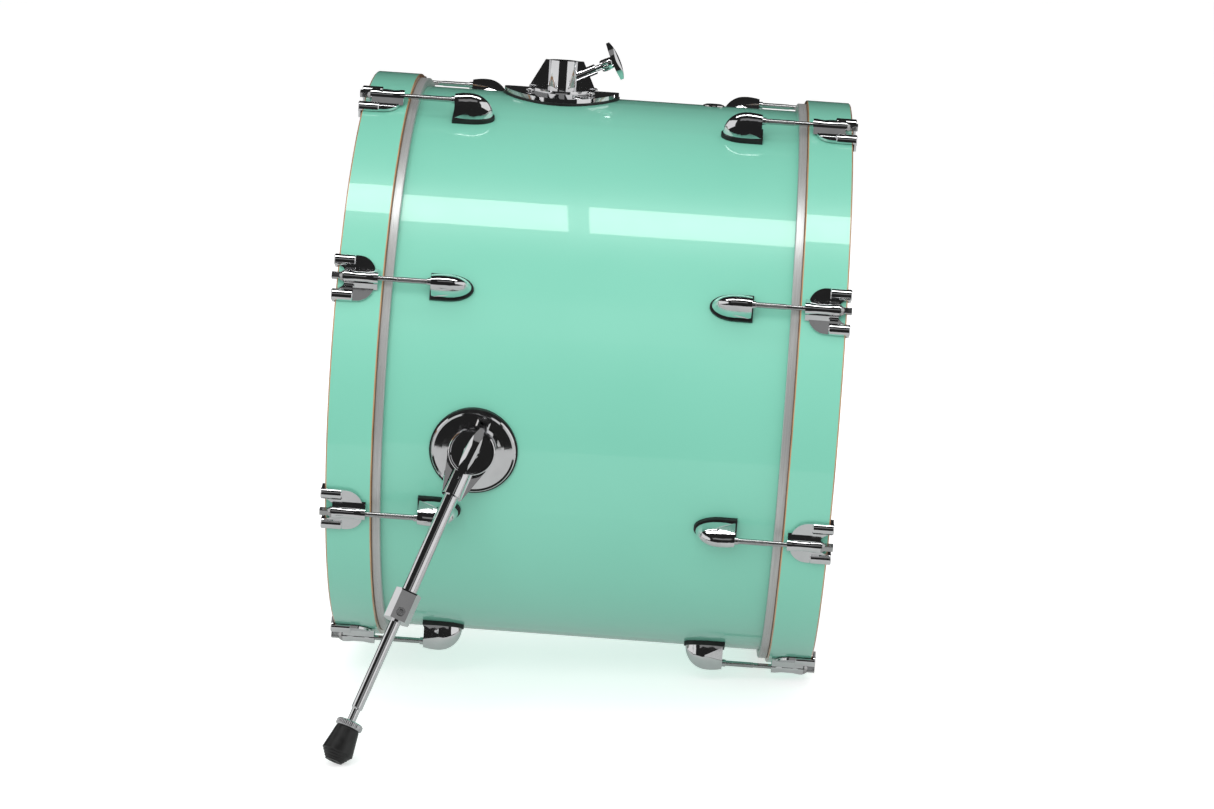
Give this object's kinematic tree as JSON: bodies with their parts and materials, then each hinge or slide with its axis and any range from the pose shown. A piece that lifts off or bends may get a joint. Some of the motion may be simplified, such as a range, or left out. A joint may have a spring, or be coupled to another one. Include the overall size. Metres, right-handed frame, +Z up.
{
  "type": "bass drum",
  "caption": "Bass drum with wooden hoops, claw hooks and key rods on teardrop lugs, telescopic swivel spurs with rubber feet, and a tom-holder bracket.",
  "frame": {"origin": "on the floor under the middle of the drum's bounding box; the drum stands nose-up on its batter hoop and two spur feet", "axes": "+X from the resonant head to the batter head, +Y to the drummer's right, +Z up; the drum's own axis slopes 3.8 degrees down towards +X"},
  "size_m": [0.5296, 0.8738, 0.6437],
  "materials": {
    "shell_lacquer": "ply shell in gloss sea-foam green lacquer outside, pale natural wood inside",
    "hoop_lacquer": "gloss sea-foam green lacquer with thin bare-wood edge lines",
    "head_film": "coated white polyester film",
    "flesh_hoop_metal": "satin rolled channel",
    "black_gasket": "matt black gasket",
    "black_rubber_pad": "matt black pad",
    "foot_rubber": "matt black moulded rubber",
    "rod_steel": "plated steel rod with rolled thread",
    "zinc_steel": "zinc-plated steel",
    "bright_grommet": "bright plated grommet",
    "chrome": "polished chrome casting"
  },
  "bodies": {
    "drum": {"batter_claw_pads": "black_rubber_pad", "batter_claws": "chrome", "batter_flesh_hoop": "flesh_hoop_metal", "batter_head": "head_film", "batter_hoop": "hoop_lacquer", "batter_lug_gaskets": "black_gasket", "batter_lugs": "chrome", "batter_swivel_nuts": "zinc_steel", "front_claw_pads": "black_rubber_pad", "front_claws": "chrome", "front_flesh_hoop": "flesh_hoop_metal", "front_head": "head_film", "front_hoop": "hoop_lacquer", "front_lug_gaskets": "black_gasket", "front_lugs": "chrome", "front_swivel_nuts": "zinc_steel", "left_spur_base_plate": "chrome", "left_spur_gasket": "black_gasket", "lug_screws": "zinc_steel", "right_spur_base_plate": "chrome", "right_spur_gasket": "black_gasket", "shell": "shell_lacquer", "spur_screws": "zinc_steel", "tom_bracket": "chrome", "tom_bracket_screws": "zinc_steel", "tom_gasket": "black_gasket", "vent_grommet": "bright_grommet"},
    "front_rod_1": {"front_tension_rod_1": "rod_steel"},
    "front_rod_2": {"front_tension_rod_2": "rod_steel"},
    "front_rod_3": {"front_tension_rod_3": "rod_steel"},
    "front_rod_4": {"front_tension_rod_4": "rod_steel"},
    "front_rod_5": {"front_tension_rod_5": "rod_steel"},
    "front_rod_6": {"front_tension_rod_6": "rod_steel"},
    "front_rod_7": {"front_tension_rod_7": "rod_steel"},
    "front_rod_8": {"front_tension_rod_8": "rod_steel"},
    "batter_rod_1": {"batter_tension_rod_1": "rod_steel"},
    "batter_rod_2": {"batter_tension_rod_2": "rod_steel"},
    "batter_rod_3": {"batter_tension_rod_3": "rod_steel"},
    "batter_rod_4": {"batter_tension_rod_4": "rod_steel"},
    "batter_rod_5": {"batter_tension_rod_5": "rod_steel"},
    "batter_rod_6": {"batter_tension_rod_6": "rod_steel"},
    "batter_rod_7": {"batter_tension_rod_7": "rod_steel"},
    "batter_rod_8": {"batter_tension_rod_8": "rod_steel"},
    "tom_wing": {"tom_wing_bolt": "chrome"},
    "left_spur_arm": {"left_spur_swivel_arm": "chrome", "left_leg_tube": "chrome", "left_leg_clamp_collar": "chrome"},
    "left_spur_wing": {"left_spur_wing_screw": "chrome"},
    "left_clamp_screw": {"left_leg_clamp_screw": "zinc_steel"},
    "left_leg": {"left_leg_rod": "chrome"},
    "left_lock_nut": {"left_foot_lock_nut": "zinc_steel"},
    "left_foot": {"left_rubber_foot": "foot_rubber"},
    "right_spur_arm": {"right_spur_swivel_arm": "chrome", "right_leg_tube": "chrome", "right_leg_clamp_collar": "chrome"},
    "right_spur_wing": {"right_spur_wing_screw": "chrome"},
    "right_clamp_screw": {"right_leg_clamp_screw": "zinc_steel"},
    "right_leg": {"right_leg_rod": "chrome"},
    "right_lock_nut": {"right_foot_lock_nut": "zinc_steel"},
    "right_foot": {"right_rubber_foot": "foot_rubber"}
  },
  "joints": [
    {"name": "front_rod_1_turn", "type": "hinge", "parent": "drum", "child": "front_rod_1", "pos_m": [-0.1337, -0.11431, 0.5924], "axis": [-0.9978, 0, 0.0666], "continuous": true},
    {"name": "front_rod_2_turn", "type": "hinge", "parent": "drum", "child": "front_rod_2", "pos_m": [-0.14446, -0.27596, 0.43111], "axis": [-0.9978, 0, 0.0666], "continuous": true},
    {"name": "front_rod_3_turn", "type": "hinge", "parent": "drum", "child": "front_rod_3", "pos_m": [-0.15967, -0.27596, 0.203], "axis": [-0.9978, 0, 0.0666], "continuous": true},
    {"name": "front_rod_4_turn", "type": "hinge", "parent": "drum", "child": "front_rod_4", "pos_m": [-0.17043, -0.11431, 0.0417], "axis": [-0.9978, 0, 0.0666], "continuous": true},
    {"name": "front_rod_5_turn", "type": "hinge", "parent": "drum", "child": "front_rod_5", "pos_m": [-0.17043, 0.11431, 0.0417], "axis": [-0.9978, 0, 0.0666], "continuous": true},
    {"name": "front_rod_6_turn", "type": "hinge", "parent": "drum", "child": "front_rod_6", "pos_m": [-0.15967, 0.27596, 0.203], "axis": [-0.9978, 0, 0.0666], "continuous": true},
    {"name": "front_rod_7_turn", "type": "hinge", "parent": "drum", "child": "front_rod_7", "pos_m": [-0.14446, 0.27596, 0.43111], "axis": [-0.9978, 0, 0.0666], "continuous": true},
    {"name": "front_rod_8_turn", "type": "hinge", "parent": "drum", "child": "front_rod_8", "pos_m": [-0.1337, 0.11431, 0.5924], "axis": [-0.9978, 0, 0.0666], "continuous": true},
    {"name": "batter_rod_1_turn", "type": "hinge", "parent": "drum", "child": "batter_rod_1", "pos_m": [0.17043, -0.11431, 0.57212], "axis": [0.9978, 0, -0.0666], "continuous": true},
    {"name": "batter_rod_2_turn", "type": "hinge", "parent": "drum", "child": "batter_rod_2", "pos_m": [0.15967, -0.27596, 0.41082], "axis": [0.9978, 0, -0.0666], "continuous": true},
    {"name": "batter_rod_3_turn", "type": "hinge", "parent": "drum", "child": "batter_rod_3", "pos_m": [0.14446, -0.27596, 0.18271], "axis": [0.9978, 0, -0.0666], "continuous": true},
    {"name": "batter_rod_4_turn", "type": "hinge", "parent": "drum", "child": "batter_rod_4", "pos_m": [0.1337, -0.11431, 0.02142], "axis": [0.9978, 0, -0.0666], "continuous": true},
    {"name": "batter_rod_5_turn", "type": "hinge", "parent": "drum", "child": "batter_rod_5", "pos_m": [0.1337, 0.11431, 0.02142], "axis": [0.9978, 0, -0.0666], "continuous": true},
    {"name": "batter_rod_6_turn", "type": "hinge", "parent": "drum", "child": "batter_rod_6", "pos_m": [0.14446, 0.27596, 0.18271], "axis": [0.9978, 0, -0.0666], "continuous": true},
    {"name": "batter_rod_7_turn", "type": "hinge", "parent": "drum", "child": "batter_rod_7", "pos_m": [0.15967, 0.27596, 0.41082], "axis": [0.9978, 0, -0.0666], "continuous": true},
    {"name": "batter_rod_8_turn", "type": "hinge", "parent": "drum", "child": "batter_rod_8", "pos_m": [0.17043, 0.11431, 0.57212], "axis": [0.9978, 0, -0.0666], "continuous": true},
    {"name": "tom_wing_turn", "type": "hinge", "parent": "drum", "child": "tom_wing", "pos_m": [0.02172, 0, 0.62497], "axis": [0.924, 0, 0.3824], "continuous": true},
    {"name": "left_spur_swivel", "type": "hinge", "parent": "drum", "child": "left_spur_arm", "pos_m": [-0.10513, -0.30249, 0.27235], "axis": [0.0102, -0.9882, 0.1526], "range_deg": [0, 113]},
    {"name": "left_spur_wing_turn", "type": "hinge", "parent": "drum", "child": "left_spur_wing", "pos_m": [-0.10513, -0.30249, 0.27235], "axis": [0.0102, -0.9882, 0.1526], "continuous": true},
    {"name": "left_clamp_screw_turn", "type": "hinge", "parent": "left_spur_arm", "child": "left_clamp_screw", "pos_m": [-0.16945, -0.3612, 0.12913], "axis": [0.2392, -0.8977, 0.3701], "continuous": true},
    {"name": "left_leg_extend", "type": "slide", "parent": "left_spur_arm", "child": "left_leg", "axis": [-0.3674, -0.4365, -0.8213], "range_m": [-0.075, 0.04]},
    {"name": "left_foot_screw", "type": "slide", "parent": "left_leg", "child": "left_foot", "axis": [-0.3674, -0.4365, -0.8213], "range_m": [-0.012, 0]},
    {"name": "left_lock_nut_travel", "type": "slide", "parent": "left_leg", "child": "left_lock_nut", "axis": [-0.3674, -0.4365, -0.8213], "range_m": [-0.012, 0]},
    {"name": "right_spur_swivel", "type": "hinge", "parent": "drum", "child": "right_spur_arm", "pos_m": [-0.10513, 0.30249, 0.27235], "axis": [-0.0102, -0.9882, -0.1526], "range_deg": [0, 113]},
    {"name": "right_spur_wing_turn", "type": "hinge", "parent": "drum", "child": "right_spur_wing", "pos_m": [-0.10513, 0.30249, 0.27235], "axis": [-0.0102, -0.9882, -0.1526], "continuous": true},
    {"name": "right_clamp_screw_turn", "type": "hinge", "parent": "right_spur_arm", "child": "right_clamp_screw", "pos_m": [-0.16945, 0.3612, 0.12913], "axis": [-0.2392, -0.8977, -0.3701], "continuous": true},
    {"name": "right_leg_extend", "type": "slide", "parent": "right_spur_arm", "child": "right_leg", "axis": [-0.3674, 0.4365, -0.8213], "range_m": [-0.075, 0.04]},
    {"name": "right_foot_screw", "type": "slide", "parent": "right_leg", "child": "right_foot", "axis": [-0.3674, 0.4365, -0.8213], "range_m": [-0.012, 0]},
    {"name": "right_lock_nut_travel", "type": "slide", "parent": "right_leg", "child": "right_lock_nut", "axis": [-0.3674, 0.4365, -0.8213], "range_m": [-0.012, 0]}
  ],
  "couplings": [
    {"joint": "left_lock_nut_travel", "follows": "left_foot_screw", "ratio": 1},
    {"joint": "right_lock_nut_travel", "follows": "right_foot_screw", "ratio": 1}
  ]
}
